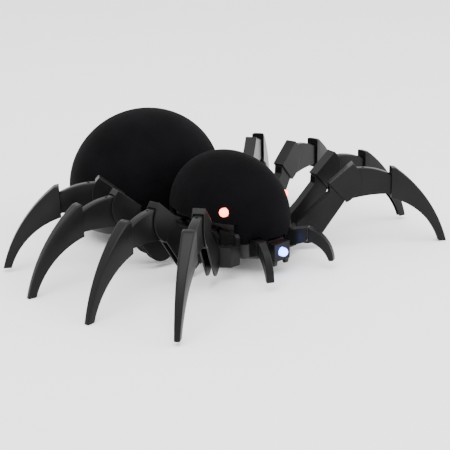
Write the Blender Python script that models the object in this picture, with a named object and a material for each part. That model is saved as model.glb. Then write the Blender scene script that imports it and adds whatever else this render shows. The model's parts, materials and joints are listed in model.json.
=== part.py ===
"""Walking spider toy: eight legs on two crank-driven bars a side, a flocked head and abdomen.

Frame: +Z up, the spider faces -Y, its left side is +X, origin on the ground at the middle of the
whole toy's length. Sizes below are in millimetres, from a point under the head that ORIGIN_Y
shifts to that middle; meshes are made in metres through MM.
"""
from math import atan2, cos, hypot, pi, radians, sin

import bmesh
import bpy
from mathutils import Matrix, Vector

MM = 0.001
GAP = 0.3                     # clearance between neighbouring pieces
ORIGIN_Y = 18.86              # from the head's middle back to the middle of the length
GROUND = "ground_origin"      # the empty that carries everything

# Walking mechanism: cranks turn about X, and each carries two pins half a turn apart.
CRANK_RADIUS = 2.6
REST_ANGLE = radians(155)     # rest angle of the raised pin, from +Y towards +Z
CRANK_Y = 14.0                # front crank at -CRANK_Y, rear crank at +CRANK_Y
CRANK_Z = 20.0
PIN_RADIUS = 2.0
JOURNAL_RADIUS = 5.0
AXLE_RADIUS = 1.5             # gear stubs and motor shafts
LIFT = CRANK_RADIUS * sin(REST_ANGLE)   # height of a mid-stroke foot above the ground

# Gears, all of one module.
MODULE = 1.0
CRANK_TEETH = 16
IDLER_TEETH = 12
PINION_TEETH = 8
GEAR_SPAN = (14.2, 17.7)
MOTOR_ANGLE = radians(67.5)   # from the crank gear to its motor pinion
MOTOR_HALF = (6.0, 5.0)       # half width (y) and half height (z) of a gearhead
MOTOR_FRONT = 12.8            # the gearhead's face, where the shaft comes out
CAN_RADIUS = 4.9

# Legs: hip places and headings, measured from straight sideways towards the front.
HIP_X = 39.0
HIP_Y = (-26.4, -12.2, 12.2, 26.4)
HEADING = (radians(35.7), radians(9.5), radians(-9.5), radians(-35.7))
FEMUR_HALF = 2.6
KNEE_HALF = 3.5
TIBIA_HALF = 2.45
CUFF_HALF = 3.8
TIP_HALF = 1.6

# Body.
HEAD_CENTRE = (0.0, -0.5, 27.6)
HEAD_SEMI = (28.5, 41.0, 35.0)
ABDOMEN_CENTRE = (0.0, 74.5, 29.6)
ABDOMEN_SEMI = (49.0, 42.0, 45.0)
SHELL = 1.6
HEAD_RIM_Z = 18.3
ABDOMEN_SEAM_Z = 24.0
HULL_BOTTOM_Z = 8.0
BELLY_SEMI = (24.0, 38.0)
BELLY_Z = (9.0, 10.8)
BELLY_REAR_Y = 30.0
EYE = (21.8, -21.0, 36.0)
LED_RADIUS = 2.5
EYE_LED = (1.8, 4.4)          # an eye light's reach inwards and outwards from the head's surface
MOUTH_Z = 12.9
GEARBOX_X = (18.0, 19.5)      # inner and outer face of a side wall
GEARBOX_Y = (23.4, 24.6)
GEARBOX_TOP = 36.5
SHOULDER = (17.4, 31.5)       # beyond this y the gearbox walls stop at this z
COVER_Z = (36.9, 38.4)
BOARD_Z = (40.9, 42.5)
DOOR_X = 25.8
DOOR_Y = (50.5, 98.5)
DOOR_TOP = 10.2
CELL_WALL_X = (26.3, 27.8)
CELL_RADIUS = 7.25
CELL_CAP_RADIUS = 2.7
CELL_LENGTH = 50.5
CELL_Y = (59.5, 74.5, 89.5)
CELL_Z = 17.9
SCREW_Y = 94.8
SCREW_HEAD_RADIUS = 2.6
SCREW_SHANK_RADIUS = 1.2
SWITCH_Y = 45.0
SWITCH_TRAVEL = 4.0

PARTS = "spider_robot"
CUTTERS = "spider_robot_cutters"


# ---------------------------------------------------------------- scene and materials

def clear_scene():
    for thing in list(bpy.data.objects):
        bpy.data.objects.remove(thing, do_unlink=True)
    for name in (PARTS, CUTTERS):
        bpy.context.scene.collection.children.link(bpy.data.collections.new(name))


def material(name, colour, roughness, metallic=0.0):
    made = bpy.data.materials.new(name)
    made.use_nodes = True
    shader = made.node_tree.nodes["Principled BSDF"]
    shader.inputs["Base Color"].default_value = (*colour, 1.0)
    shader.inputs["Roughness"].default_value = roughness
    shader.inputs["Metallic"].default_value = metallic
    return made


def make_materials():
    return {
        "flock": material("black_flock", (0.006, 0.006, 0.007), 1.0),
        "leg": material("black_leg_plastic", (0.025, 0.025, 0.027), 0.32),
        "hull": material("black_hull_plastic", (0.012, 0.012, 0.014), 0.25),
        "chassis": material("grey_chassis_plastic", (0.045, 0.045, 0.05), 0.5),
        "gear": material("white_acetal", (0.75, 0.74, 0.70), 0.45),
        "steel": material("motor_steel", (0.6, 0.6, 0.62), 0.3, 1.0),
        "board": material("green_board", (0.02, 0.16, 0.06), 0.5),
        "cell": material("cell_sleeve", (0.05, 0.12, 0.25), 0.35),
        "red": material("red_led", (0.9, 0.08, 0.05), 0.15),
        "blue": material("blue_led", (0.1, 0.2, 0.95), 0.15),
    }


def place(name, mesh, finish, parent=None):
    thing = bpy.data.objects.new(name, mesh)
    bpy.data.collections[PARTS].objects.link(thing)
    thing.parent = parent or bpy.data.objects[GROUND]
    if not mesh.materials:
        mesh.materials.append(finish)
    return thing


def pivot(name, location, parent=None, turn=0.0):
    """An empty on a joint's axis; location is in its parent's frame, the ground empty's by default."""
    ground = bpy.data.objects.get(GROUND)
    empty = bpy.data.objects.new(name, None)
    bpy.data.collections[PARTS].objects.link(empty)
    empty.location = Vector(location) * MM
    empty.rotation_euler = (0, 0, turn)
    empty.parent = parent or ground
    return empty


# ---------------------------------------------------------------- shapes

def mesh_from(bm):
    mesh = bpy.data.meshes.new("shape")
    bmesh.ops.recalc_face_normals(bm, faces=bm.faces)
    bm.to_mesh(mesh)
    bm.free()
    return mesh


def box(low, high):
    bm = bmesh.new()
    bmesh.ops.create_cube(bm, size=1.0)
    low, high = Vector(low), Vector(high)
    size = high - low
    bmesh.ops.transform(bm, verts=bm.verts, matrix=Matrix.Translation((low + high) / 2 * MM)
                        @ Matrix.Diagonal((*(size * MM), 1.0)))
    return mesh_from(bm)


def rod(radius, start, end, sides=20):
    """A round bar between two points."""
    start, end = Vector(start), Vector(end)
    along = end - start
    bm = bmesh.new()
    bmesh.ops.create_cone(bm, cap_ends=True, segments=sides, radius1=radius * MM,
                          radius2=radius * MM, depth=along.length * MM)
    turn = Vector((0, 0, 1)).rotation_difference(along).to_matrix().to_4x4()
    bmesh.ops.transform(bm, verts=bm.verts,
                        matrix=Matrix.Translation((start + end) / 2 * MM) @ turn)
    return mesh_from(bm)


def ellipsoid(centre, semi, around=26, rings=14):
    bm = bmesh.new()
    bmesh.ops.create_uvsphere(bm, u_segments=around, v_segments=rings, radius=MM)
    bmesh.ops.transform(bm, verts=bm.verts,
                        matrix=Matrix.Translation(Vector(centre) * MM)
                        @ Matrix.Diagonal((*semi, 1.0)))
    return mesh_from(bm)


# Axes of a flat outline (x, y, thickness) in the part's frame.
SIDE_ON = Matrix(((1, 0, 0, 0), (0, 0, -1, 0), (0, 1, 0, 0), (0, 0, 0, 1)))    # x, z, thickness -y
END_ON = Matrix(((0, 0, 1, 0), (1, 0, 0, 0), (0, 1, 0, 0), (0, 0, 0, 1)))      # y, z, thickness x
FLAT = Matrix.Identity(4)                                                     # x, y, thickness z


def plate(outline, low, high, axes=FLAT, holes=()):
    """A flat outline with optional holes, filled and extruded from low to high."""
    curve = bpy.data.curves.new("outline", "CURVE")
    curve.dimensions = "2D"
    curve.fill_mode = "BOTH"
    curve.extrude = (high - low) / 2 * MM
    for ring in (outline, *holes):
        spline = curve.splines.new("POLY")
        spline.points.add(len(ring) - 1)
        for point, (x, y) in zip(spline.points, ring):
            point.co = (x * MM, y * MM, 0, 1)
        spline.use_cyclic_u = True
    guide = bpy.data.objects.new("outline", curve)
    bpy.context.scene.collection.objects.link(guide)
    graph = bpy.context.evaluated_depsgraph_get()
    filled = bpy.data.meshes.new_from_object(guide.evaluated_get(graph))
    bpy.data.objects.remove(guide)
    bm = bmesh.new()
    bm.from_mesh(filled)
    bmesh.ops.remove_doubles(bm, verts=bm.verts, dist=1e-6)
    middle = Matrix.Translation((0, 0, (low + high) / 2 * MM))
    bmesh.ops.transform(bm, verts=bm.verts, matrix=axes @ middle)
    return mesh_from(bm)


def circle(radius, sides):
    return [(radius * cos(2 * pi * i / sides), radius * sin(2 * pi * i / sides))
            for i in range(sides)]


def arc(start, through, end, steps):
    """Points of the circle through three points, from start to end, both included."""
    (ax, ay), (bx, by), (cx, cy) = start, through, end
    d = 2 * (ax * (by - cy) + bx * (cy - ay) + cx * (ay - by))
    a2, b2, c2 = ax * ax + ay * ay, bx * bx + by * by, cx * cx + cy * cy
    ox = (a2 * (by - cy) + b2 * (cy - ay) + c2 * (ay - by)) / d
    oy = (a2 * (cx - bx) + b2 * (ax - cx) + c2 * (bx - ax)) / d
    radius = hypot(ax - ox, ay - oy)
    first = atan2(ay - oy, ax - ox)
    middle = (atan2(by - oy, bx - ox) - first + pi) % (2 * pi) - pi
    last = (atan2(cy - oy, cx - ox) - first + pi) % (2 * pi) - pi
    if middle * last < 0:
        last -= 2 * pi if last > 0 else -2 * pi
    return [(ox + radius * cos(first + last * i / steps), oy + radius * sin(first + last * i / steps))
            for i in range(steps + 1)]


def carve(base, joins=(), cuts=()):
    """Join meshes to base, cut others away, and return the finished mesh."""
    body = bpy.data.objects.new("carving", base)
    bpy.data.collections[CUTTERS].objects.link(body)
    for operation, tools in (("UNION", joins), ("DIFFERENCE", cuts)):
        for tool_mesh in tools:
            tool = bpy.data.objects.new("cutter", tool_mesh)
            bpy.data.collections[CUTTERS].objects.link(tool)
            boolean = body.modifiers.new(operation.lower(), "BOOLEAN")
            boolean.operation = operation
            boolean.object = tool
    bpy.context.view_layer.update()
    graph = bpy.context.evaluated_depsgraph_get()
    carved = bpy.data.meshes.new_from_object(body.evaluated_get(graph))
    for thing in list(bpy.data.collections[CUTTERS].objects):
        bpy.data.objects.remove(thing, do_unlink=True)
    return carved


def moved(mesh, matrix):
    copy = mesh.copy()
    copy.transform(matrix)
    return copy


def smooth(mesh):
    mesh.shade_smooth()
    mesh.set_sharp_from_angle(angle=radians(35))
    return mesh


# ---------------------------------------------------------------- leg mouldings
# A leg's own frame: x runs out from the hip along the leg, z is up from the foot's rest plane.

KNEE_APEX = (27.3, 50.9)
KNEE_INNER = (13.2, 39.3)
KNEE_HEEL = (23.4, 27.7)
KNEE_BULGE = (31.9, 39.8)
HUB_CENTRE = (0.8, 12.4)
HUB_RADIUS = 8.6
HUB_FACE = -6.3               # flat face against the bar
PEG_Z = 12.5
PEG_RADIUS = 1.3
FEMUR_CHANNEL_HALF = 1.7
KNEE_SOCKET_HALF = 2.75       # the socket that takes the tibia
TIBIA_WALL = 0.9


def upper_leg_mesh():
    knee = plate([KNEE_INNER, *arc(KNEE_HEEL, KNEE_BULGE, KNEE_APEX, 6)], -KNEE_HALF, KNEE_HALF, SIDE_ON)
    low_angle, high_angle = radians(208), radians(327)
    hub = [(HUB_CENTRE[0] + HUB_RADIUS * cos(a), HUB_CENTRE[1] + HUB_RADIUS * sin(a))
           for a in (low_angle + (high_angle - low_angle) * i / 5 for i in range(6))]
    femur_outline = [(22.0, 27.6), (22.9, 29.6), (15.2, 38.4), (13.6, 38.0), (13.2, 33.8), (2.9, 24.3),
                     (HUB_FACE, 16.8), (HUB_FACE, hub[0][1]), *hub[1:]]
    femur = plate(femur_outline, -FEMUR_HALF, FEMUR_HALF, SIDE_ON)
    channel = plate([(14.6, 33.0), (3.6, 22.9), (HUB_FACE + 1.4, 16.0), (HUB_FACE + 1.4, -2),
                     (14, -2), (30, 18), (22.2, 25.0)],
                    -FEMUR_CHANNEL_HALF, FEMUR_CHANNEL_HALF, SIDE_ON)
    socket = plate([(16.6, 39.2), (25.8, 48.1), (36, 48.1), (36, 28.9), (24.4, 28.9)],
                   -KNEE_SOCKET_HALF, KNEE_SOCKET_HALF, SIDE_ON)
    peg_hole = rod(PEG_RADIUS + GAP, (HUB_FACE - 1, 0, PEG_Z), (HUB_FACE + 2.5, 0, PEG_Z), 8)
    return carve(knee, joins=(femur,), cuts=(channel, socket, peg_hole))


def tibia_mesh():
    top = arc((26.2, 47.5), (39.5, 46.7), (52.4, 41.4), 6)
    low = arc((52.4, 30.9), (40.0, 31.3), (26.2, 29.5), 4)
    body = plate(top + low, -TIBIA_HALF, TIBIA_HALF, SIDE_ON)
    roof = arc((27.6, 46.3), (39.5, 45.4), (51.0, 40.6), 6)
    channel = plate(roof + [(51.0, 25), (27.6, 25)], TIBIA_WALL - TIBIA_HALF, TIBIA_HALF - TIBIA_WALL,
                    SIDE_ON)
    dimple = rod(0.8, (33.5, 0, 44), (33.5, 0, 49), 8)
    return carve(body, cuts=(channel, dimple))


def foot_mesh():
    """A tapering claw: U-shaped sections lofted from the cuff to the tip."""
    stations = 9
    outer = [(50.1, 47.2)] + arc((52.7, 46.7), (70.6, 28.4), (84.0, 0.0), stations - 2)
    inner = arc((49.7, 29.0), (64.5, 21.3), (79.3, 0.0), stations - 1)
    bm = bmesh.new()
    rings = []
    for i, ((ou, oz), (iu, iz)) in enumerate(zip(outer, inner)):
        t = i / (stations - 1)
        half = CUFF_HALF + (TIP_HALF - CUFF_HALF) * t
        wall = 1.0 - 0.35 * t
        roof = 4.3 if i < 2 else 1.3 + 2.8 * t ** 3
        depth = hypot(ou - iu, oz - iz)
        down = ((iu - ou) / depth, (iz - oz) / depth)
        channel_roof = min(roof, depth - 0.6)
        section = [(depth, -half), (0.5, -half), (0.0, -half * 0.55), (0.0, half * 0.55), (0.5, half),
                   (depth, half), (depth, half - wall), (channel_roof, half - wall),
                   (channel_roof, wall - half), (depth, wall - half)]
        rings.append([bm.verts.new(((ou + down[0] * d) * MM, y * MM, (oz + down[1] * d) * MM))
                      for d, y in section])
    for near, far in zip(rings, rings[1:]):
        for j in range(len(near)):
            k = (j + 1) % len(near)
            bm.faces.new((near[j], near[k], far[k], far[j]))
    for ring in (rings[0], rings[-1]):
        bm.faces.new((ring[0], ring[1], ring[8], ring[9]))
        bm.faces.new((ring[1], ring[2], ring[3], ring[4], ring[7], ring[8]))
        bm.faces.new((ring[4], ring[5], ring[6], ring[7]))
    bmesh.ops.triangulate(bm, faces=bm.faces)
    return mesh_from(bm)


# ---------------------------------------------------------------- mechanism

def gear_outline(teeth, first=0.0):
    """Straight-flanked teeth with running clearance; a tooth is centred on the angle first."""
    pitch = MODULE * teeth / 2
    points = []
    for i in range(teeth):
        centre = first + 2 * pi * i / teeth
        for radius, half in ((pitch - 1.15, -1.0), (pitch + 0.85, -0.36), (pitch + 0.85, 0.36),
                             (pitch - 1.15, 1.0)):
            turn = centre + half / radius
            points.append((radius * cos(turn), radius * sin(turn)))
    return points


def span(side, near, far):
    """An extent along X on one side of the toy, lowest first."""
    return (near, far) if side > 0 else (-far, -near)


def crank_mesh(side, inner_pin):
    """Gear, journal, inner pin, web, outer pin and flange, along X about the crank axis."""
    def disc(radius, near, far, angle=None, sides=16):
        y = CRANK_RADIUS * cos(angle) if angle is not None else 0.0
        z = CRANK_RADIUS * sin(angle) if angle is not None else 0.0
        return rod(radius, (side * near, y, z), (side * far, y, z), sides)
    gear = plate(gear_outline(CRANK_TEETH), *span(side, *GEAR_SPAN), END_ON)
    outer_pin = inner_pin + pi
    return carve(gear, joins=(
        disc(JOURNAL_RADIUS, GEAR_SPAN[1] - 0.5, 20.4),
        disc(PIN_RADIUS, 20.0, 24.5, inner_pin, 12),
        disc(JOURNAL_RADIUS, 24.0, 25.6),
        disc(PIN_RADIUS, 25.2, 29.6, outer_pin, 12),
        disc(PIN_RADIUS + 0.9, 29.2, 30.0, outer_pin, 12)))


def idler_mesh(side):
    bore = circle(AXLE_RADIUS + GAP, 12)
    return plate(gear_outline(IDLER_TEETH, pi / IDLER_TEETH), *span(side, *GEAR_SPAN), END_ON, holes=(bore,))


def pinion_mesh(side):
    bore = circle(AXLE_RADIUS + GAP, 12)
    return plate(gear_outline(PINION_TEETH, -pi / 2), *span(side, *GEAR_SPAN), END_ON, holes=(bore,))


def clip_bar_outline(reach, pins, low=-4.2, high=4.2):
    """A long plate with a snap-on bearing, open upwards, round each pin."""
    bore = PIN_RADIUS + GAP
    mouth = 1.7
    lip = atan2((bore * bore - mouth * mouth) ** 0.5, mouth)
    top = []
    for y in pins:
        top.append((y + mouth, high))
        steps = 9
        sweep = 2 * pi - (pi - 2 * lip)
        for i in range(steps + 1):
            angle = lip - sweep * i / steps
            top.append((y + bore * cos(angle), bore * sin(angle)))
        top.append((y - mouth, high))
    front, rear = reach
    corner = 1.5
    return [(front, low + corner), (front + corner, low), (rear - corner, low), (rear, low + corner),
            (rear, high - corner), (rear - corner, high), *top, (front + corner, high),
            (front, high - corner)]


def hip_matrix(side, leg, front_pin):
    """The leg's frame seen from its bar's front pin."""
    turn = -HEADING[leg] if side > 0 else pi + HEADING[leg]
    hip = Vector((side * HIP_X, HIP_Y[leg] - front_pin[0], LIFT - front_pin[1]))
    return hip, turn


def hip_pad(side, leg, inboard, half, low, high):
    """The block a femur stands against, with its locating peg, in the bar's frame."""
    hip, turn = hip_matrix(side, leg, (-CRANK_Y, CRANK_Z))
    to_bar = Matrix.Translation(hip * MM) @ Matrix.Rotation(turn, 4, "Z")
    block = moved(box((inboard, -half, low), (HUB_FACE - GAP, half, high)), to_bar)
    peg = moved(rod(PEG_RADIUS, (HUB_FACE - 1.2, 0, PEG_Z), (HUB_FACE + 1.0, 0, PEG_Z), 8), to_bar)
    return block, peg


def long_bar_mesh(side):
    """Inner bar, which carries the first and fourth legs on arms at its ends."""
    reach = (CRANK_Y - 29.5, CRANK_Y + 29.5)
    bar = plate(clip_bar_outline(reach, (2 * CRANK_Y, 0)), *span(side, 20.8, 23.6), END_ON)
    joins = []
    for leg, end in ((0, -1), (3, 1)):
        arm = [(21.1, 29.2), (21.1, 24.2), (30.3, 24.2), (33.2, 21.4), (31.9, 24.6), (28.0, 29.2)]
        ring = [(side * x, CRANK_Y + end * y) for x, y in arm]
        joins.append(plate(ring, 6.5 - CRANK_Z, 18.0 - CRANK_Z, FLAT))
        joins.extend(hip_pad(side, leg, -8.2, 2.1, 7.0 - LIFT, 17.0 - LIFT))
    return carve(bar, joins=joins)


def short_bar_mesh(side):
    """Outer bar, which carries the second and third legs."""
    reach = (CRANK_Y - 18.2, CRANK_Y + 18.2)
    bar = plate(clip_bar_outline(reach, (2 * CRANK_Y, 0)), *span(side, 26.0, 28.8), END_ON)
    joins = []
    for leg in (1, 2):
        joins.extend(hip_pad(side, leg, -11.2, 2.1, 7.0 - LIFT, 16.4 - LIFT))
    return carve(bar, joins=joins)


def motor_mesh(side):
    """Small geared motor: gearhead, can and shaft."""
    half_y, half_z = MOTOR_HALF
    gearhead = box((-6.0, -half_y, -half_z), (9.0, half_y, half_z))
    body = carve(gearhead, joins=(
        box((8.5, -half_y, -half_z), (MOTOR_FRONT, half_y, half_z)),
        rod(CAN_RADIUS, (-12.0, 0, 0), (-5.5, 0, 0), 20),
        rod(AXLE_RADIUS, (MOTOR_FRONT - 0.3, 0, 0), (GEAR_SPAN[1], 0, 0), 12)))
    return moved(body, Matrix.Rotation(0 if side > 0 else pi, 4, "Z"))


# ---------------------------------------------------------------- body shells and frame

def grown(semi, by):
    return tuple(s + by for s in semi)


def shell(centre, semi, cuts):
    outer = ellipsoid(centre, semi)
    inner = ellipsoid(centre, grown(semi, -SHELL))
    return carve(outer, cuts=(inner, *cuts))


def eye_direction():
    normal = Vector((EYE[0] - HEAD_CENTRE[0], EYE[1] - HEAD_CENTRE[1], EYE[2] - HEAD_CENTRE[2]))
    for i in range(3):
        normal[i] /= HEAD_SEMI[i] ** 2
    return normal.normalized()


def mirrored(point, side):
    return Vector((side * point[0], point[1], point[2]))


def eye_rod(side, radius, inward, outward, sides=16):
    """A round bar through an eye's place, square to the head's surface."""
    middle = mirrored(EYE, side)
    along = mirrored(eye_direction(), side)
    return rod(radius, middle - along * inward, middle + along * outward, sides)


def head_mesh():
    below = box((-60, -60, -30), (60, 60, HEAD_RIM_Z))
    windows = [box((x0, -34, 0), (x1, 34, 30)) for x0, x1 in ((20.2, 60), (-60, -20.2))]
    abdomen = ellipsoid(ABDOMEN_CENTRE, grown(ABDOMEN_SEMI, 0.8))
    eyes = [eye_rod(side, LED_RADIUS + GAP, 6, 6) for side in (-1, 1)]
    arms = [palp_plate(side, [(0.0, 5.0), (15, 9.0), (15, 24.9), (0.0, 21.8)], 3.6)
            for side in (-1, 1)]
    mouth = box((-6.6, -50, 5), (6.6, -30, 20.8))
    return smooth(shell(HEAD_CENTRE, HEAD_SEMI, cuts=(below, *windows, abdomen, *eyes, *arms, mouth)))


def abdomen_shell_mesh():
    below = box((-70, 0, -30), (70, 140, ABDOMEN_SEAM_Z))
    return smooth(shell(ABDOMEN_CENTRE, ABDOMEN_SEMI, cuts=(below,)))


def abdomen_hull_mesh():
    """Lower half of the abdomen: flat floor with a battery opening, a switch slot and a neck socket."""
    outer = ellipsoid(ABDOMEN_CENTRE, grown(ABDOMEN_SEMI, -0.6))
    inner = ellipsoid(ABDOMEN_CENTRE, grown(ABDOMEN_SEMI, -0.6 - SHELL))
    above = box((-70, 0, ABDOMEN_SEAM_Z - GAP), (70, 140, 100))
    below = box((-70, 0, -40), (70, 140, HULL_BOTTOM_Z))
    hollow = carve(inner, cuts=(box((-70, 0, -40), (70, 140, HULL_BOTTOM_Z + 1.8)),))
    cell_walls = [box((x0, 52, HULL_BOTTOM_Z + 1), (x1, 97, 22))
                  for x0, x1 in (span(1, *CELL_WALL_X), span(-1, *CELL_WALL_X))]
    opening = box((-DOOR_X, DOOR_Y[0], 0), (DOOR_X, DOOR_Y[1], 10.5))
    slot = box((-5.2, SWITCH_Y - 1.8, 0), (5.2, SWITCH_Y + 1.8, 12))
    neck = box((-12.4, 25, 9.9), (12.4, 40, 16.4))
    body = carve(outer, cuts=(hollow, above, below))
    return smooth(carve(body, joins=cell_walls, cuts=(opening, slot, neck)))


def belly_outline(inset=0.0, steps=28):
    a, b = BELLY_SEMI[0] - inset, BELLY_SEMI[1] - inset
    rear = BELLY_REAR_Y - inset
    ring = [(a * sin(2 * pi * i / steps), -b * cos(2 * pi * i / steps)) for i in range(steps)]
    kept = [(x, y) for x, y in ring if y < rear - 1.0]
    reach = a * (1 - (rear / b) ** 2) ** 0.5
    right = [p for p in kept if p[0] >= 0]
    left = [p for p in kept if p[0] < 0]
    return [*sorted(right, key=lambda p: p[1]), (reach, rear), (-reach, rear),
            *sorted(left, key=lambda p: -p[1])]


def chassis_mesh():
    """Belly tub with the gearbox walls, gear stubs, motor rests and the neck to the abdomen."""
    x_in, x_out = GEARBOX_X
    y_in, y_out = GEARBOX_Y
    floor = plate(belly_outline(), *BELLY_Z, FLAT)
    rim = plate(belly_outline(), BELLY_Z[0] + 0.5, HEAD_RIM_Z - GAP, FLAT, holes=(belly_outline(SHELL),))
    rim = carve(rim, cuts=[box((x0, -33, BELLY_Z[1]), (x1, 33, 60))
                           for x0, x1 in ((17.0, 60), (-60, -17.0))])
    corner = 1.3
    outside = [(sx * (x_out - dx), sy * (y_out - dy)) for sx, sy, dx, dy in (
        (-1, -1, 0, corner), (-1, -1, corner, 0), (1, -1, corner, 0), (1, -1, 0, corner),
        (1, 1, 0, corner), (1, 1, corner, 0), (-1, 1, corner, 0), (-1, 1, 0, corner))]
    box_walls = plate(outside, BELLY_Z[1] - 1, GEARBOX_TOP, FLAT,
                      holes=([(-x_in, -y_in), (x_in, -y_in), (x_in, y_in), (-x_in, y_in)],))
    bearings = [rod(JOURNAL_RADIUS + GAP, (-30, y, CRANK_Z), (30, y, CRANK_Z), 16)
                for y in (-CRANK_Y, CRANK_Y)]
    stubs = [rod(AXLE_RADIUS, (side * 13.0, 0, CRANK_Z), (side * 18.5, 0, CRANK_Z), 12) for side in (-1, 1)]
    rests = []
    for side in (-1, 1):
        y, z = motor_place(side)
        rests.extend(box((x - 0.8, y - 5, BELLY_Z[1] - 1), (x + 0.8, y + 5, z - MOTOR_HALF[1] - GAP))
                     for x in (-5.0 * side, 8.0 * side))
    neck = box((-12, 29, 10.2), (12, 39.5, 16.0))
    shoulders = [box((-30, y0, SHOULDER[1]), (30, y1, 60))
                 for y0, y1 in ((SHOULDER[0], 40), (-40, -SHOULDER[0]))]
    walls = carve(box_walls, cuts=(*bearings, *shoulders))
    return carve(floor, joins=(rim, walls, *rests, neck, *stubs))


def motor_place(side):
    """Centre of a motor's shaft (y, z): left motor over the front crank, right over the rear one."""
    reach = MODULE * (CRANK_TEETH + PINION_TEETH) / 2
    y = -CRANK_Y + reach * cos(MOTOR_ANGLE)
    return (y if side > 0 else -y), CRANK_Z + reach * sin(MOTOR_ANGLE)


def gearbox_cover_mesh():
    reach = SHOULDER[0] - 0.2
    top = plate([(-18.8, -reach), (18.8, -reach), (18.8, reach), (-18.8, reach)], *COVER_Z, FLAT)
    posts = [rod(1.8, (x, y, 38), (x, y, BOARD_Z[0] - GAP), 12) for x in (-12, 12) for y in (-13, 13)]
    lips = [box((-17.4, y - 0.7, SHOULDER[1] + 0.3), (17.4, y + 0.7, 37.5))
            for y in (0.8 - reach, reach - 0.8)]
    return carve(top, joins=(*posts, *lips))


def board_mesh():
    top = plate([(-15, -18), (15, -18), (15, 18), (-15, 18)], *BOARD_Z, FLAT)
    chips = (box((-6, -4, 42), (4, 6, 44.0)), box((7, -14, 42), (12, -9, 46.0)),
             box((-3.5, 10, 42), (3.5, 15, 48.5)), rod(2.5, (-10, -10, 42), (-10, -10, 49), 14))
    return carve(top, joins=chips)


# ---------------------------------------------------------------- face

PALP_ROOT = (12.0, -33.0)
PALP_AIM = atan2(-0.90, 0.43)


def palp_matrix(side):
    if side > 0:
        return Matrix.Translation(Vector((*PALP_ROOT, 0)) * MM) @ Matrix.Rotation(PALP_AIM, 4, "Z")
    return (Matrix.Translation(Vector((-PALP_ROOT[0], PALP_ROOT[1], 0)) * MM)
            @ Matrix.Rotation(pi - PALP_AIM, 4, "Z"))


def palp_plate(side, outline, half):
    return moved(plate(outline, -half, half, SIDE_ON), palp_matrix(side))


def palp_base_mesh(side):
    body = palp_plate(side, [(1.4, 10.8), (14.2, 15.5), (14.4, 23.8), (1.4, 20.9)], 2.9)
    hollow = palp_plate(side, [(2.6, 5.0), (13.0, 5.0), (13.2, 22.2), (2.6, 19.8)], 1.9)
    return carve(body, cuts=(hollow,))


def palp_claw_mesh(side):
    top = arc((14.9, 23.9), (24.0, 18.6), (29.6, 5.2), 7)
    low = arc((26.8, 5.0), (21.8, 12.2), (14.7, 15.4), 5)
    return palp_plate(side, top + low, 2.2)


def mouth_mesh():
    """Bracket round the mouth light, with two short fangs."""
    block = box((-6, -43.6, 8.0), (6, -38.4, 18.0))
    fangs = [moved(plate([(-43.4, 9.0), (-39.0, 9.0), (-40.8, 5.0), (-42.4, 5.0)], -1.4, 1.4, END_ON),
                   Matrix.Translation((x * MM, 0, 0))) for x in (-4.4, 4.4)]
    seat = rod(LED_RADIUS + GAP, (0, -45, MOUTH_Z), (0, -37, MOUTH_Z), 16)
    return carve(block, joins=fangs, cuts=(seat,))


def led_mesh(start, end, sides=14):
    """A round-nosed light: a turned profile from its flat back to its tip."""
    start, end = Vector(start), Vector(end)
    length = (end - start).length
    profile = [(0, 0), (LED_RADIUS, 0), (LED_RADIUS, length - LED_RADIUS)]
    profile += [(LED_RADIUS * cos(a), length - LED_RADIUS + LED_RADIUS * sin(a))
                for a in (radians(22), radians(45), radians(68))] + [(0, length)]
    bm = bmesh.new()
    verts = [bm.verts.new((r * MM, 0, z * MM)) for r, z in profile]
    edges = [bm.edges.new(pair) for pair in zip(verts, verts[1:])]
    bmesh.ops.spin(bm, geom=verts + edges, cent=(0, 0, 0), axis=(0, 0, 1), angle=2 * pi, steps=sides,
                   use_merge=False)
    bmesh.ops.remove_doubles(bm, verts=bm.verts, dist=1e-6)
    turn = Vector((0, 0, 1)).rotation_difference(end - start).to_matrix().to_4x4()
    bmesh.ops.transform(bm, verts=bm.verts, matrix=Matrix.Translation(start * MM) @ turn)
    return smooth(mesh_from(bm))


# ---------------------------------------------------------------- assembly

def build_body(looks):
    place("head_shell", head_mesh(), looks["flock"])
    place("abdomen_shell", abdomen_shell_mesh(), looks["flock"])
    place("abdomen_hull", abdomen_hull_mesh(), looks["hull"])
    place("chassis", chassis_mesh(), looks["chassis"])
    place("gearbox_cover", gearbox_cover_mesh(), looks["chassis"])
    place("circuit_board", board_mesh(), looks["board"])
    place("mouth_bracket", mouth_mesh(), looks["leg"])
    place("mouth_light", led_mesh((0, -39.0, MOUTH_Z), (0, -47.0, MOUTH_Z)), looks["blue"])
    for side, word in ((-1, "right"), (1, "left")):
        middle, along = mirrored(EYE, side), mirrored(eye_direction(), side)
        back, front = middle - along * EYE_LED[0], middle + along * EYE_LED[1]
        place(f"{word}_eye_light", led_mesh(back, front), looks["red"])
        place(f"{word}_pedipalp_base", palp_base_mesh(side), looks["leg"])
        place(f"{word}_pedipalp_claw", palp_claw_mesh(side), looks["leg"])


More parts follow.
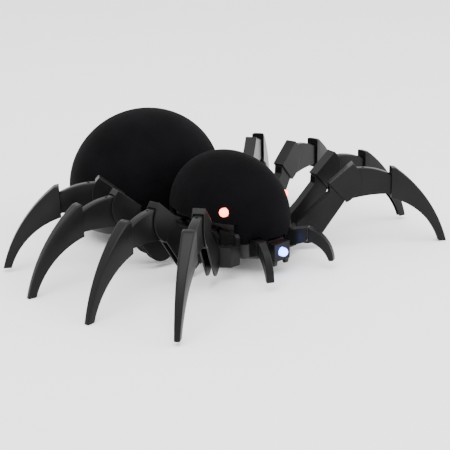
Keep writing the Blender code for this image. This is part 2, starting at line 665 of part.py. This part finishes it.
def build_power(looks):
    door = box((-DOOR_X + GAP, DOOR_Y[0] + GAP, HULL_BOTTOM_Z), (DOOR_X - GAP, DOOR_Y[1] - GAP, DOOR_TOP))
    counterbore = rod(SCREW_HEAD_RADIUS + GAP, (0, SCREW_Y, 5), (0, SCREW_Y, 9.3), 16)
    shank_hole = rod(SCREW_SHANK_RADIUS + GAP, (0, SCREW_Y, 5), (0, SCREW_Y, 12), 12)
    place("battery_door", carve(door, cuts=(counterbore, shank_hole)), looks["hull"])
    screw = carve(rod(SCREW_HEAD_RADIUS, (0, SCREW_Y, 8.2), (0, SCREW_Y, 9.0), 16),
                  joins=(rod(SCREW_SHANK_RADIUS, (0, SCREW_Y, 8.8), (0, SCREW_Y, 10.3), 10),))
    place("battery_door_screw", screw, looks["steel"])
    for number, y in enumerate(CELL_Y, 1):
        half = CELL_LENGTH / 2 - 1.0
        cell = carve(rod(CELL_RADIUS, (-half, y, CELL_Z), (half, y, CELL_Z), 24),
                     joins=(rod(CELL_CAP_RADIUS, (half - 0.5, y, CELL_Z), (half + 1.0, y, CELL_Z), 12),))
        place(f"battery_{number}", cell, looks["cell"])
    knob = carve(box((-2.5, -1.3, -0.8), (2.5, 1.3, 3.0)), joins=(box((-6.2, -3.2, 2.6), (6.2, 3.2, 4.2)),))
    place("power_switch", knob, looks["chassis"],
          parent=pivot("switch_slide", (-SWITCH_TRAVEL / 2, SWITCH_Y, HULL_BOTTOM_Z)))


def build_side(looks, leg_meshes, side, word):
    """One side's cranks, gears, bars and legs."""
    inner_pin = REST_ANGLE if side < 0 else REST_ANGLE + pi
    outer_pin = inner_pin + pi
    for end, sign in (("front", -1), ("rear", 1)):
        axis = pivot(f"{word}_{end}_crank_axis", (0, sign * CRANK_Y, CRANK_Z))
        place(f"{word}_{end}_crank", crank_mesh(side, inner_pin), looks["leg"], parent=axis)
    place(f"{word}_idler_gear", idler_mesh(side), looks["gear"],
          parent=pivot(f"{word}_idler_axis", (0, 0, CRANK_Z)))
    motor = pivot(f"{word}_motor_axis", (0, *motor_place(side)))
    place(f"{word}_pinion", pinion_mesh(side), looks["gear"], parent=motor)
    place(f"{word}_gear_motor", motor_mesh(side), looks["steel"], parent=motor)
    bars = (("long_bar", long_bar_mesh(side), inner_pin, (0, 3)),
            ("short_bar", short_bar_mesh(side), outer_pin, (1, 2)))
    for name, mesh, pin, legs in bars:
        shift = (CRANK_RADIUS * cos(pin), CRANK_RADIUS * sin(pin))
        carrier = pivot(f"{word}_{name}_pivot", (0, -CRANK_Y + shift[0], CRANK_Z + shift[1]))
        place(f"{word}_{name}", mesh, looks["leg"], parent=carrier)
        for leg in legs:
            hip, turn = hip_matrix(side, leg, (-CRANK_Y, CRANK_Z))
            hip_empty = pivot(f"{word}_hip_{leg + 1}", hip, carrier, turn)
            for piece, leg_mesh in leg_meshes.items():
                place(f"{word}_leg_{leg + 1}_{piece}", leg_mesh, looks["leg"], parent=hip_empty)


def main():
    clear_scene()
    looks = make_materials()
    pivot(GROUND, (0, -ORIGIN_Y, 0))
    leg_meshes = {"femur": smooth(upper_leg_mesh()), "tibia": smooth(tibia_mesh()),
                  "foot": smooth(foot_mesh())}
    build_body(looks)
    build_power(looks)
    for side, word in ((-1, "right"), (1, "left")):
        build_side(looks, leg_meshes, side, word)


main()
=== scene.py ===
"""Walking spider robot: surface detail, materials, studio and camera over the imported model.

Sizes are in millimetres from a point under the head; ORIGIN_Y takes them to the row frame.
A leg is drawn side-on as (x, z) outlines from its hip, and then turned to its heading.
"""
import json
from math import atan2, cos, hypot, pi, radians, sin

import bmesh
import bpy
from mathutils import Matrix, Vector

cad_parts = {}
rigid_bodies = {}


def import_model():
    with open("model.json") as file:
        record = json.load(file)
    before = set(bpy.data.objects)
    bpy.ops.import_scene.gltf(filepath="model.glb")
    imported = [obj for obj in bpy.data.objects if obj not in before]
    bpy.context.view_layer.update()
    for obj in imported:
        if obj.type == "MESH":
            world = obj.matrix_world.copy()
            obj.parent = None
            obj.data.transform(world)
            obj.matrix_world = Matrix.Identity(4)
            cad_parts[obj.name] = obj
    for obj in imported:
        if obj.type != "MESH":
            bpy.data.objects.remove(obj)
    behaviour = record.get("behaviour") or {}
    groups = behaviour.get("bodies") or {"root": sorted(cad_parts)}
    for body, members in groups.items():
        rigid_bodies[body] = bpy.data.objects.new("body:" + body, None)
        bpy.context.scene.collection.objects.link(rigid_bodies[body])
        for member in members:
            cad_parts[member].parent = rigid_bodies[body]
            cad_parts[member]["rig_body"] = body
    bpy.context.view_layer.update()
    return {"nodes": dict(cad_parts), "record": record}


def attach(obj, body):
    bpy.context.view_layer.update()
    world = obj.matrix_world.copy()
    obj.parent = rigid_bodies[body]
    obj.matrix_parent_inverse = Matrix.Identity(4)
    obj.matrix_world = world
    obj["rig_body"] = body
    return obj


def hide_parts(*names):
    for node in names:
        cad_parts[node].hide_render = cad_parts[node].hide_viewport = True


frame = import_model()

MM = 0.001
GAP = 0.3
ORIGIN_Y = 18.86
TO_ROW = Matrix.Translation((0, -ORIGIN_Y * MM, 0))

# Walking gear: two bars on each side ride on crank pins half a turn apart.
CRANK_RADIUS = 2.6
REST_ANGLE = radians(155)
LIFT = CRANK_RADIUS * sin(REST_ANGLE)
HIP_X = 39.0
HIP_Y = (-26.4, -12.2, 12.2, 26.4)
HEADING = (radians(35.7), radians(9.5), radians(-9.5), radians(-35.7))

# Shells: two hollow ellipsoids, and the hull set just inside the abdomen's.
SHELL = 1.6
HEAD_CENTRE = (0.0, -0.5, 27.6)
HEAD_SEMI = (28.5, 41.0, 35.0)
HEAD_RIM_Z = 18.3
NECK_CLEARANCE = 0.8
WINDOW_X = 20.2
WINDOW_Y = 34
WINDOW_TOP = 30
HEAD_CUTTER = 60
ABDOMEN_CENTRE = (0.0, 74.5, 29.6)
ABDOMEN_SEMI = (49.0, 42.0, 45.0)
SEAM_Z = 24.0
HULL_INSET = 0.6
HULL_BOTTOM_Z = 8.0
HULL_FLOOR = 1.8
CELL_WALL_X = (26.3, 27.8)
CELL_WALL_Y = (52, 97)
CELL_WALL_TOP = 22
DOOR_OPENING = ((-25.8, 50.5, 0), (25.8, 98.5, 10.5))
SWITCH_SLOT = ((-5.2, 43.2, 0), (5.2, 46.8, 12))
CHASSIS_SOCKET = ((-12.4, 25, 9.9), (12.4, 40, 16.4))

# Face: eyes on the head's surface, a light at the mouth, and a pedipalp on each side of it.
EYE = (21.8, -21.0, 36.0)
EYE_LED = (1.8, 4.4)
EYE_HOLE_REACH = 6
LED_RADIUS = 2.5
LED_FLANGE = 0.7
LED_GROOVE = 0.15
MOUTH_Z = 12.9
MOUTH_LED_Y = (-39.0, -47.0)
MOUTH_CUT = ((-6.6, -50, 5), (6.6, -30, 20.8))
PALP_ROOT = (12.0, -33.0)
PALP_AIM = atan2(-0.90, 0.43)
PALP_SLOT_HALF = 3.6
CLAW_HALF = 2.2

# Legs: half widths across each piece, and the walls of the two that are channels.
HUB_CENTRE = (0.8, 12.4)
HUB_RADIUS = 8.6
HUB_FACE_X = -6.3
HUB_STEPS = 20
KNEE_HALF = 3.5
FEMUR_HALF = 2.6
FEMUR_CHANNEL_HALF = 1.7
KNEE_SOCKET_HALF = 2.75
PEG_RADIUS = 1.6
TIBIA_HALF = 2.45
TIBIA_WALL = 0.9
TIBIA_ROOF = 1.2
EJECTOR_RADIUS = 0.8
FOOT_STEPS = 5
SHOULDER = ((0.95, 1.0), (0.5, 0.95), (0.2, 0.85), (0.05, 0.7), (0.0, 0.45))
CHANNEL_LIP = 0.6

# Moulded edge radii.
PLAIN_EDGE = 0.25
SHELL_EDGE = 0.3
CLAW_EDGE = 0.6
COPY_EDGE = 0.2
LEG_EDGE = {"femur": 0.3, "tibia": 0.18, "foot": 0.18}

# Studio and camera: lamps are name, place in metres, size in metres and power in watts.
WORLD_STRENGTH = 1.9
LAMPS = (("key", (-0.5, -0.4, 1.5), 1.4, 30), ("fill", (0.9, -0.9, 0.8), 1.2, 12))
FLOOR_SIZE = 6.0
FLOOR_DROP = 0.0002
CAMERA_AIM = (0, -ORIGIN_Y, 41.1)
CAMERA_DISTANCE = 0.7767
CAMERA_AZIMUTH = radians(42.29)
CAMERA_ELEVATION = radians(17.07)
CAMERA_ROLL = radians(-1.39)
CAMERA_LENS = 108.6
CAMERA_SHIFT = (-0.0066, -0.0837)


# ---------------------------------------------------------------- materials

def moulded(name, dark, light, rough, grain, bump, metallic=0.0, coat=0.0, sheen=0.0, gloss=0.5,
            patch=60.0):
    """A surface with slow colour change, roughness variation and a fine grain."""
    made = bpy.data.materials.new(name)
    made.use_nodes = True
    nodes, links = made.node_tree.nodes, made.node_tree.links
    shader = nodes["Principled BSDF"]
    shader.inputs["Metallic"].default_value = metallic
    shader.inputs["Coat Weight"].default_value = coat
    shader.inputs["Specular IOR Level"].default_value = gloss
    shader.inputs["Sheen Weight"].default_value = sheen
    shader.inputs["Sheen Roughness"].default_value = 0.45
    where = nodes.new("ShaderNodeTexCoord")
    slow = nodes.new("ShaderNodeTexNoise")
    slow.inputs["Scale"].default_value = patch
    slow.inputs["Detail"].default_value = 4.0
    fine = nodes.new("ShaderNodeTexNoise")
    fine.inputs["Scale"].default_value = grain
    fine.inputs["Detail"].default_value = 6.0
    colour = nodes.new("ShaderNodeValToRGB")
    for stop, (position, shade) in zip(colour.color_ramp.elements, ((0.35, dark), (0.65, light))):
        stop.position = position
        stop.color = (*shade, 1)
    spread = nodes.new("ShaderNodeMapRange")
    spread.inputs["To Min"].default_value = rough[0]
    spread.inputs["To Max"].default_value = rough[1]
    relief = nodes.new("ShaderNodeBump")
    relief.inputs["Strength"].default_value = bump
    relief.inputs["Distance"].default_value = 0.2 * MM
    for texture in (slow, fine):
        links.new(where.outputs["Object"], texture.inputs["Vector"])
    links.new(slow.outputs["Fac"], colour.inputs["Fac"])
    links.new(colour.outputs["Color"], shader.inputs["Base Color"])
    links.new(fine.outputs["Fac"], spread.inputs["Value"])
    links.new(spread.outputs["Result"], shader.inputs["Roughness"])
    links.new(fine.outputs["Fac"], relief.inputs["Height"])
    links.new(relief.outputs["Normal"], shader.inputs["Normal"])
    return made


def lens(name, body, glow, strength):
    """Clear tinted plastic, lit from within."""
    made = moulded(name, body, body, (0.08, 0.16), 900, 0.05, coat=1.0)
    shader = made.node_tree.nodes["Principled BSDF"]
    shader.inputs["Emission Color"].default_value = (*glow, 1)
    shader.inputs["Emission Strength"].default_value = strength
    return made


LOOKS = {
    "flock": moulded("black_flock", (0.0020, 0.0018, 0.0022), (0.0034, 0.0030, 0.0038),
                     (0.85, 1.0), 2600, 0.9, sheen=0.012, gloss=0.03, patch=45),
    "leg": moulded("black_leg_plastic", (0.004, 0.004, 0.0045), (0.006, 0.006, 0.0065),
                   (0.26, 0.38), 1500, 0.12, gloss=0.13),
    "hull": moulded("black_hull_plastic", (0.002, 0.002, 0.0025), (0.004, 0.004, 0.0045),
                    (0.16, 0.24), 1200, 0.05, coat=0.15, gloss=0.2),
    "bar": moulded("black_bar_plastic", (0.003, 0.003, 0.0035), (0.005, 0.005, 0.0055),
                   (0.4, 0.52), 1500, 0.15, gloss=0.2),
    "chassis": moulded("grey_chassis_plastic", (0.018, 0.018, 0.020), (0.026, 0.026, 0.028),
                       (0.45, 0.6), 1400, 0.25, gloss=0.3),
    "switch": moulded("black_switch", (0.012, 0.012, 0.012), (0.018, 0.018, 0.018),
                      (0.45, 0.6), 1600, 0.3),
    "gear": moulded("white_acetal", (0.66, 0.65, 0.60), (0.74, 0.73, 0.69),
                    (0.35, 0.5), 1300, 0.1),
    "steel": moulded("motor_steel", (0.52, 0.52, 0.54), (0.62, 0.62, 0.64),
                     (0.24, 0.4), 1800, 0.15, metallic=1.0),
    "board": moulded("green_board", (0.012, 0.11, 0.045), (0.02, 0.16, 0.07),
                     (0.3, 0.45), 1100, 0.15),
    "cell": moulded("cell_sleeve", (0.04, 0.08, 0.17), (0.06, 0.11, 0.21),
                    (0.25, 0.35), 1000, 0.05),
    "eye_led": lens("red_lens", (0.7, 0.03, 0.02), (1.0, 0.16, 0.10), 12.0),
    "mouth_led": lens("blue_lens", (0.05, 0.12, 0.8), (0.16, 0.26, 1.0), 12.0),
}


def wear(thing, look):
    thing.data.materials.clear()
    thing.data.materials.append(LOOKS[look])


# ---------------------------------------------------------------- shapes

def mesh_from(bm):
    mesh = bpy.data.meshes.new("shape")
    bmesh.ops.recalc_face_normals(bm, faces=bm.faces)
    bm.to_mesh(mesh)
    bm.free()
    return mesh


def box(low, high):
    bm = bmesh.new()
    bmesh.ops.create_cube(bm, size=1.0)
    low, high = Vector(low), Vector(high)
    bmesh.ops.transform(bm, verts=bm.verts, matrix=Matrix.Translation((low + high) / 2 * MM)
                        @ Matrix.Diagonal((*((high - low) * MM), 1.0)))
    return mesh_from(bm)


def rod(radius, start, end, sides=32):
    start, end = Vector(start), Vector(end)
    along = end - start
    bm = bmesh.new()
    bmesh.ops.create_cone(bm, cap_ends=True, segments=sides, radius1=radius * MM,
                          radius2=radius * MM, depth=along.length * MM)
    turn = Vector((0, 0, 1)).rotation_difference(along).to_matrix().to_4x4()
    middle = Matrix.Translation((start + end) / 2 * MM)
    bmesh.ops.transform(bm, verts=bm.verts, matrix=middle @ turn)
    return mesh_from(bm)


def ellipsoid(centre, semi):
    bm = bmesh.new()
    bmesh.ops.create_uvsphere(bm, u_segments=96, v_segments=56, radius=MM)
    bmesh.ops.transform(bm, verts=bm.verts, matrix=Matrix.Translation(Vector(centre) * MM)
                        @ Matrix.Diagonal((*semi, 1.0)))
    return mesh_from(bm)


def grown(semi, by):
    return tuple(s + by for s in semi)


def plate(outline, half):
    """A side-on outline (x, z), half to each side."""
    bm = bmesh.new()
    near = [bm.verts.new((x * MM, -half * MM, z * MM)) for x, z in outline]
    far = [bm.verts.new((x * MM, half * MM, z * MM)) for x, z in outline]
    bm.faces.new(near)
    bm.faces.new(list(reversed(far)))
    count = len(outline)
    for i in range(count):
        k = (i + 1) % count
        bm.faces.new((near[i], far[i], far[k], near[k]))
    return mesh_from(bm)


def arc(start, through, end, steps):
    """Points of the circle through three points, from start to end, both included."""
    (ax, ay), (bx, by), (cx, cy) = start, through, end
    d = 2 * (ax * (by - cy) + bx * (cy - ay) + cx * (ay - by))
    a2, b2, c2 = ax * ax + ay * ay, bx * bx + by * by, cx * cx + cy * cy
    ox = (a2 * (by - cy) + b2 * (cy - ay) + c2 * (ay - by)) / d
    oy = (a2 * (cx - bx) + b2 * (ax - cx) + c2 * (bx - ax)) / d
    radius = hypot(ax - ox, ay - oy)
    first = atan2(ay - oy, ax - ox)
    middle = (atan2(by - oy, bx - ox) - first + pi) % (2 * pi) - pi
    last = (atan2(cy - oy, cx - ox) - first + pi) % (2 * pi) - pi
    if middle * last < 0:
        last -= 2 * pi if last > 0 else -2 * pi
    return [(ox + radius * cos(first + last * i / steps),
             oy + radius * sin(first + last * i / steps)) for i in range(steps + 1)]


def carve(base, joins=(), cuts=()):
    """The base mesh with some meshes joined on and then others cut away."""
    body = bpy.data.objects.new("carving", base)
    bpy.context.scene.collection.objects.link(body)
    made = [body]
    for operation, tools in (("UNION", joins), ("DIFFERENCE", cuts)):
        for tool_mesh in tools:
            tool = bpy.data.objects.new("cutter", tool_mesh)
            bpy.context.scene.collection.objects.link(tool)
            made.append(tool)
            boolean = body.modifiers.new(operation, "BOOLEAN")
            boolean.operation = operation
            boolean.solver = "EXACT"
            boolean.object = tool
    bpy.context.view_layer.update()
    graph = bpy.context.evaluated_depsgraph_get()
    carved = bpy.data.meshes.new_from_object(body.evaluated_get(graph))
    for thing in made:
        bpy.data.objects.remove(thing, do_unlink=True)
    return carved


def channel(outer, inner, half, wall, roof):
    """A U section with rounded shoulders, open inwards, lofted through pairs of points.

    half, wall and roof give the section's size at a fraction of the way along.
    """
    bm = bmesh.new()
    rings = []
    last = len(outer) - 1
    for i, ((ou, oz), (iu, iz)) in enumerate(zip(outer, inner)):
        t = i / last
        h, w = half(t), wall(t)
        depth = hypot(ou - iu, oz - iz)
        down = ((iu - ou) / depth, (iz - oz) / depth)
        r = min(roof(t), depth - CHANNEL_LIP)
        section = [(depth, -h)] + [(d, -h * f) for d, f in SHOULDER]
        section += [(d, h * f) for d, f in reversed(SHOULDER)]
        section += [(depth, h), (depth, h - w), (r, h - w), (r, w - h), (depth, w - h)]
        rings.append([bm.verts.new(((ou + down[0] * d) * MM, y * MM, (oz + down[1] * d) * MM))
                      for d, y in section])
    count = len(rings[0])
    for near, far in zip(rings, rings[1:]):
        for j in range(count):
            k = (j + 1) % count
            bm.faces.new((near[j], near[k], far[k], far[j]))
    for ring in (rings[0], rings[-1]):
        bm.faces.new(ring)
    return mesh_from(bm)


def show(name, mesh, look, body, nodes, at=TO_ROW, bevel=PLAIN_EDGE, angle=35):
    """Place a detailed piece that stands for CAD nodes and rides on their body."""
    mesh.shade_smooth()
    mesh.set_sharp_from_angle(angle=radians(angle))
    thing = bpy.data.objects.new(name, mesh)
    bpy.context.scene.collection.objects.link(thing)
    thing.matrix_world = at
    if bevel:
        rounding = thing.modifiers.new("edge_rounding", "BEVEL")
        rounding.width = bevel * MM
        rounding.segments = 2
        rounding.limit_method = "ANGLE"
        rounding.angle_limit = radians(angle)
    wear(thing, look)
    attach(thing, body)
    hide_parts(*nodes)


def rounded_copy(node, look):
    """The CAD node's own shape with its moulded edges rounded."""
    mesh = frame["nodes"][node].data.copy()
    bm = bmesh.new()
    bm.from_mesh(mesh)
    bmesh.ops.remove_doubles(bm, verts=bm.verts, dist=1e-6)
    bmesh.ops.dissolve_limit(bm, angle_limit=radians(1.0), verts=bm.verts, edges=bm.edges)
    bm.to_mesh(mesh)
    bm.free()
    show(f"{node}_detail", mesh, look, frame["nodes"][node]["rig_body"], [node],
         at=Matrix.Identity(4), bevel=COPY_EDGE)


# ---------------------------------------------------------------- body

def head_shell():
    below = box((-HEAD_CUTTER, -HEAD_CUTTER, -30), (HEAD_CUTTER, HEAD_CUTTER, HEAD_RIM_Z))
    windows = [box((x0, -WINDOW_Y, 0), (x1, WINDOW_Y, WINDOW_TOP))
               for x0, x1 in ((WINDOW_X, HEAD_CUTTER), (-HEAD_CUTTER, -WINDOW_X))]
    neighbour = ellipsoid(ABDOMEN_CENTRE, grown(ABDOMEN_SEMI, NECK_CLEARANCE))
    eyes = [rod(LED_RADIUS + GAP, middle - along * EYE_HOLE_REACH, middle + along * EYE_HOLE_REACH)
            for middle, along in (eye_place(-1), eye_place(1))]
    slot = [(0.0, 5.0), (15, 9.0), (15, 24.9), (0.0, 21.8)]
    arms = [palp_plate(side, slot, PALP_SLOT_HALF) for side in (-1, 1)]
    inside = ellipsoid(HEAD_CENTRE, grown(HEAD_SEMI, -SHELL))
    return carve(ellipsoid(HEAD_CENTRE, HEAD_SEMI), cuts=(
        inside, below, *windows, neighbour, *eyes, *arms, box(*MOUTH_CUT)))


def abdomen_slab(low_z, high_z):
    """A cutter wider and longer than the abdomen, between two heights."""
    return box((-70, 0, low_z), (70, 140, high_z))


def abdomen_hull():
    hollow = carve(ellipsoid(ABDOMEN_CENTRE, grown(ABDOMEN_SEMI, -HULL_INSET - SHELL)),
                   cuts=(abdomen_slab(-40, HULL_BOTTOM_Z + HULL_FLOOR),))
    hull = carve(ellipsoid(ABDOMEN_CENTRE, grown(ABDOMEN_SEMI, -HULL_INSET)), cuts=(
        hollow, abdomen_slab(SEAM_Z - GAP, 100), abdomen_slab(-40, HULL_BOTTOM_Z)))
    near, far = CELL_WALL_X
    cell_walls = [box((x0, CELL_WALL_Y[0], HULL_BOTTOM_Z + 1), (x1, CELL_WALL_Y[1], CELL_WALL_TOP))
                  for x0, x1 in ((near, far), (-far, -near))]
    return carve(hull, joins=cell_walls,
                 cuts=(box(*DOOR_OPENING), box(*SWITCH_SLOT), box(*CHASSIS_SOCKET)))


def body_shells():
    show("head_flocked", head_shell(), "flock", "body", ["head_shell"], bevel=SHELL_EDGE)
    abdomen = carve(ellipsoid(ABDOMEN_CENTRE, ABDOMEN_SEMI), cuts=(
        ellipsoid(ABDOMEN_CENTRE, grown(ABDOMEN_SEMI, -SHELL)), abdomen_slab(-30, SEAM_Z)))
    show("abdomen_flocked", abdomen, "flock", "body", ["abdomen_shell"], bevel=SHELL_EDGE)
    show("abdomen_hull_glossy", abdomen_hull(), "hull", "body", ["abdomen_hull"],
         bevel=SHELL_EDGE)


def eye_place(side):
    """An eye's point on the head's surface, and the way it looks: along the normal there."""
    normal = Vector([(EYE[i] - HEAD_CENTRE[i]) / HEAD_SEMI[i] ** 2 for i in range(3)]).normalized()
    return Vector((side * EYE[0], EYE[1], EYE[2])), Vector((side * normal.x, normal.y, normal.z))


def led(start, end):
    """A moulded lens with its flange, turned about its own axis."""
    start, end = Vector(start), Vector(end)
    length = (end - start).length
    dome = [(LED_RADIUS * cos(a), length - LED_RADIUS + LED_RADIUS * sin(a))
            for a in [radians(6 * i) for i in range(15)]]
    waist = LED_RADIUS - LED_GROOVE
    profile = [(0, 0), (LED_RADIUS, 0), (LED_RADIUS, LED_FLANGE), (waist, 0.8), (waist, 1.0),
               (LED_RADIUS, 1.15), *dome, (0, length)]
    bm = bmesh.new()
    verts = [bm.verts.new((r * MM, 0, z * MM)) for r, z in profile]
    edges = [bm.edges.new(pair) for pair in zip(verts, verts[1:])]
    bmesh.ops.spin(bm, geom=verts + edges, cent=(0, 0, 0), axis=(0, 0, 1), angle=2 * pi, steps=40)
    bmesh.ops.remove_doubles(bm, verts=bm.verts, dist=1e-7)
    turn = Vector((0, 0, 1)).rotation_difference(end - start).to_matrix().to_4x4()
    bmesh.ops.transform(bm, verts=bm.verts, matrix=Matrix.Translation(start * MM) @ turn)
    return mesh_from(bm)


def palp_matrix(side):
    turn = PALP_AIM if side > 0 else pi - PALP_AIM
    root = Vector((side * PALP_ROOT[0], PALP_ROOT[1], 0)) * MM
    return Matrix.Translation(root) @ Matrix.Rotation(turn, 4, "Z")


def palp_plate(side, outline, half):
    mesh = plate(outline, half)
    mesh.transform(palp_matrix(side))
    return mesh


def face():
    mouth = led(*((0, y, MOUTH_Z) for y in MOUTH_LED_Y))
    show("mouth_lens", mouth, "mouth_led", "body", ["mouth_light"], bevel=0)
    rounded_copy("mouth_bracket", "leg")
    claw = (arc((14.9, 23.9), (24.0, 18.6), (29.6, 5.2), 24)
            + arc((26.8, 5.0), (21.8, 12.2), (14.7, 15.4), 18))
    for side, word in ((-1, "right"), (1, "left")):
        middle, along = eye_place(side)
        eye = led(middle - along * EYE_LED[0], middle + along * EYE_LED[1])
        show(f"{word}_eye_lens", eye, "eye_led", "body", [f"{word}_eye_light"], bevel=0)
        rounded_copy(f"{word}_pedipalp_base", "leg")
        show(f"{word}_claw", palp_plate(side, claw, CLAW_HALF), "leg", "body",
             [f"{word}_pedipalp_claw"], bevel=CLAW_EDGE)


# ---------------------------------------------------------------- legs

def upper_leg():
    """The hub on its bar, the channelled femur and the knee with its socket, in one piece."""
    knee = plate([(13.2, 39.3), *arc((23.4, 27.7), (31.9, 39.8), (27.3, 50.9), 28)], KNEE_HALF)
    low, high = radians(208), radians(327)
    hub = [(HUB_CENTRE[0] + HUB_RADIUS * cos(a), HUB_CENTRE[1] + HUB_RADIUS * sin(a))
           for a in (low + (high - low) * i / HUB_STEPS for i in range(HUB_STEPS + 1))]
    femur = plate([(22.0, 27.6), (22.9, 29.6), (15.2, 38.4), (13.6, 38.0), (13.2, 33.8),
                   (2.9, 24.3), (HUB_FACE_X, 16.8), (HUB_FACE_X, hub[0][1]), *hub[1:]], FEMUR_HALF)
    hollow = plate([(14.6, 33.0), (3.6, 22.9), (HUB_FACE_X + 1.4, 16.0), (HUB_FACE_X + 1.4, -2),
                    (14, -2), (30, 18), (22.2, 25.0)], FEMUR_CHANNEL_HALF)
    socket = plate([(16.6, 39.2), (25.8, 48.1), (36, 48.1), (36, 28.9), (24.4, 28.9)],
                   KNEE_SOCKET_HALF)
    peg = rod(PEG_RADIUS, (HUB_FACE_X - 1, 0, 12.5), (HUB_FACE_X + 2.5, 0, 12.5))
    return carve(knee, joins=(femur,), cuts=(hollow, socket, peg))


def tibia():
    shape = channel(arc((26.2, 47.5), (39.5, 46.7), (52.4, 41.4), 24),
                    arc((26.2, 29.5), (40.0, 31.3), (52.4, 30.9), 24),
                    lambda t: TIBIA_HALF, lambda t: TIBIA_WALL, lambda t: TIBIA_ROOF)
    return carve(shape, cuts=(rod(EJECTOR_RADIUS, (33.5, 0, 44), (33.5, 0, 49), 24),))


def foot():
    """A tapering claw-shaped channel, with a thick roof where it grips the tibia."""
    start, turn_in = (50.1, 47.2), (52.7, 46.7)
    outer = [(start[0] + (turn_in[0] - start[0]) * i / FOOT_STEPS,
              start[1] + (turn_in[1] - start[1]) * i / FOOT_STEPS) for i in range(FOOT_STEPS)]
    outer += arc(turn_in, (70.6, 28.4), (84.0, 0.0), 7 * FOOT_STEPS)
    inner = arc((49.7, 29.0), (64.5, 21.3), (79.3, 0.0), 8 * FOOT_STEPS)
    return channel(outer, inner, lambda t: 3.8 - 2.2 * t, lambda t: 1.0 - 0.35 * t,
                   lambda t: 4.3 if t < 0.2 else 1.3 + 2.8 * t ** 3)


def legs():
    """Legs 1 and 4 ride on the long bar and 2 and 3 on the short one, half a turn apart."""
    meshes = {"femur": upper_leg(), "tibia": tibia(), "foot": foot()}
    for side, word in ((-1, "right"), (1, "left")):
        inner_pin = REST_ANGLE if side < 0 else REST_ANGLE + pi
        for leg in range(4):
            bar, pin = ("long", inner_pin) if leg in (0, 3) else ("short", inner_pin + pi)
            hip = Vector((side * HIP_X, HIP_Y[leg] + CRANK_RADIUS * cos(pin) - ORIGIN_Y,
                          LIFT + CRANK_RADIUS * sin(pin)))
            turn = -HEADING[leg] if side > 0 else pi + HEADING[leg]
            at = Matrix.Translation(hip * MM) @ Matrix.Rotation(turn, 4, "Z")
            for piece, mesh in meshes.items():
                node = f"{word}_leg_{leg + 1}_{piece}"
                show(f"{node}_moulding", mesh, "leg", f"{word}_{bar}_bar_and_legs", [node],
                     at=at, bevel=LEG_EDGE[piece])


def carried_over():
    """CAD nodes whose shape is right: rounded edges where they show, and every one a finish."""
    rounded_copy("chassis", "chassis")
    rounded_copy("battery_door", "hull")
    rounded_copy("power_switch", "switch")
    for word in ("left", "right"):
        rounded_copy(f"{word}_long_bar", "bar")
        rounded_copy(f"{word}_short_bar", "bar")
    slots = {part["node"]: part["material_slot"] for part in frame["record"]["subparts"]}
    for node, thing in frame["nodes"].items():
        if not thing.hide_render:
            wear(thing, slots[node])


# ---------------------------------------------------------------- studio

def studio():
    bm = bmesh.new()
    bmesh.ops.create_grid(bm, x_segments=2, y_segments=2, size=FLOOR_SIZE)
    floor = bpy.data.objects.new("studio_floor", mesh_from(bm))
    floor.location.z = -FLOOR_DROP
    bpy.context.scene.collection.objects.link(floor)
    floor.data.materials.append(moulded("pale_floor", (0.93, 0.93, 0.93), (0.95, 0.95, 0.95),
                                        (0.8, 0.9), 40, 0.0, patch=2))
    world = bpy.data.worlds.new("studio")
    bpy.context.scene.world = world
    world.use_nodes = True
    sky = world.node_tree.nodes["Background"]
    sky.inputs["Color"].default_value = (1, 1, 1, 1)
    sky.inputs["Strength"].default_value = WORLD_STRENGTH
    for name, spot, size, power in LAMPS:
        light = bpy.data.lights.new(name, "AREA")
        light.energy = power
        light.size = size
        lamp = bpy.data.objects.new(name, light)
        lamp.location = spot
        lamp.rotation_euler = (-Vector(spot)).to_track_quat("-Z", "Y").to_euler()
        bpy.context.scene.collection.objects.link(lamp)


def camera():
    back = Vector((-sin(CAMERA_AZIMUTH) * cos(CAMERA_ELEVATION),
                   -cos(CAMERA_AZIMUTH) * cos(CAMERA_ELEVATION), sin(CAMERA_ELEVATION)))
    data = bpy.data.cameras.new("camera")
    data.sensor_width = 36.0
    data.lens = CAMERA_LENS
    data.shift_x, data.shift_y = CAMERA_SHIFT
    data.clip_end = 50
    eye = bpy.data.objects.new("camera", data)
    turn = back.to_track_quat("Z", "Y").to_matrix().to_4x4() @ Matrix.Rotation(CAMERA_ROLL, 4, "Z")
    place = Vector(CAMERA_AIM) * MM + back * CAMERA_DISTANCE
    eye.matrix_world = Matrix.Translation(place) @ turn
    bpy.context.scene.collection.objects.link(eye)
    bpy.context.scene.camera = eye


camera()
body_shells()
face()
legs()
carried_over()
studio()
